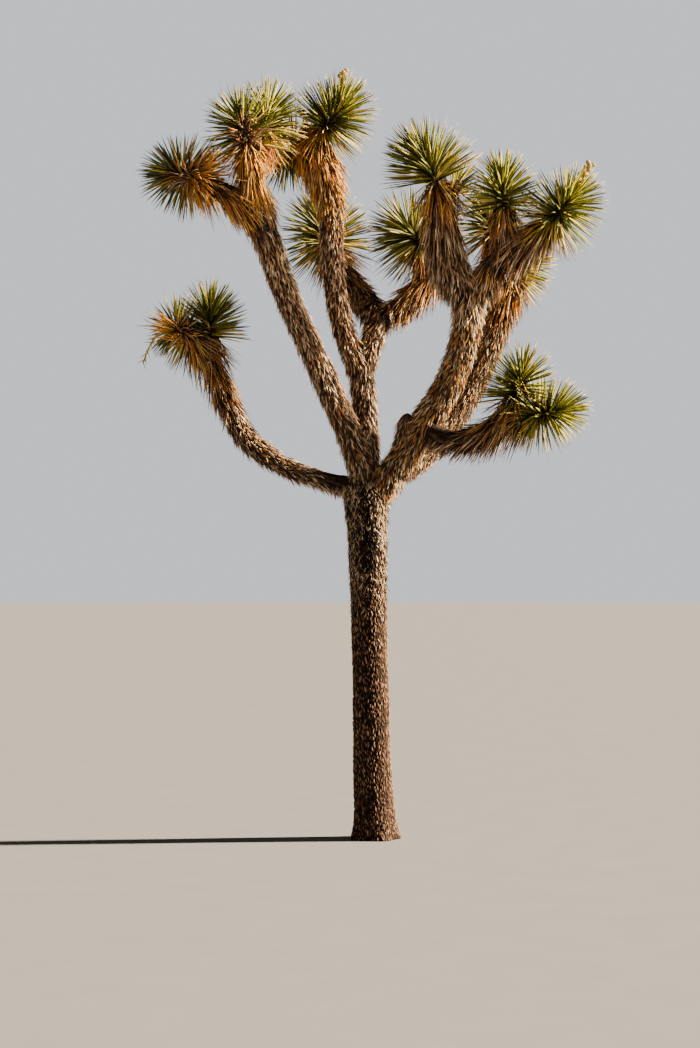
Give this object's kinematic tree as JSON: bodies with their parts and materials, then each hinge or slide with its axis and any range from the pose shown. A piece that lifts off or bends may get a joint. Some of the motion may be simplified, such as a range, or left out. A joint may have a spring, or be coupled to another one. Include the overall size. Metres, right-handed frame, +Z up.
{
  "type": "joshua tree",
  "caption": "Tall branching desert tree: a straight rough trunk, shaggy curving boughs, and a spiky rosette of dagger leaves at the end of each.",
  "frame": {"origin": "middle of the flat cut under the trunk, at ground level", "axes": "+Z up the tree; seen from the side that the picture shows, +X is to the right and +Y is to the back"},
  "size_m": [2.7708, 1.6579, 4.6083],
  "materials": {
    "bark": "rough",
    "thatch": "rough",
    "foliage": "satin"
  },
  "bodies": {
    "root": {"trunk": "bark", "centre_stem": "thatch", "right_bough": "thatch", "tall_left_bough": "thatch", "low_left_bough": "thatch", "low_left_top": "thatch", "tall_left_top": "thatch", "far_left_arm": "thatch", "top_left_arm": "thatch", "centre_left_bough": "thatch", "centre_left_top": "thatch", "centre_right_stem": "thatch", "back_bough": "thatch", "cross_bough": "thatch", "right_front_bough": "thatch", "right_back_bough": "thatch", "low_right_bough": "thatch", "crown_left_arm": "thatch", "crown_right_arm": "thatch", "far_right_arm": "thatch", "low_left_rosette": "foliage", "low_left_outer_rosette": "foliage", "far_left_rosette": "foliage", "top_left_rosette": "foliage", "top_left_inner_rosette": "foliage", "centre_rosette": "foliage", "shaded_rosette": "foliage", "back_rosette": "foliage", "cross_rosette": "foliage", "crown_left_rosette": "foliage", "crown_inner_rosette": "foliage", "crown_middle_rosette": "foliage", "far_right_rosette": "foliage", "crown_back_rosette": "foliage", "back_right_rosette": "foliage", "low_right_rosette": "foliage", "low_right_outer_rosette": "foliage"}
  },
  "joints": []
}
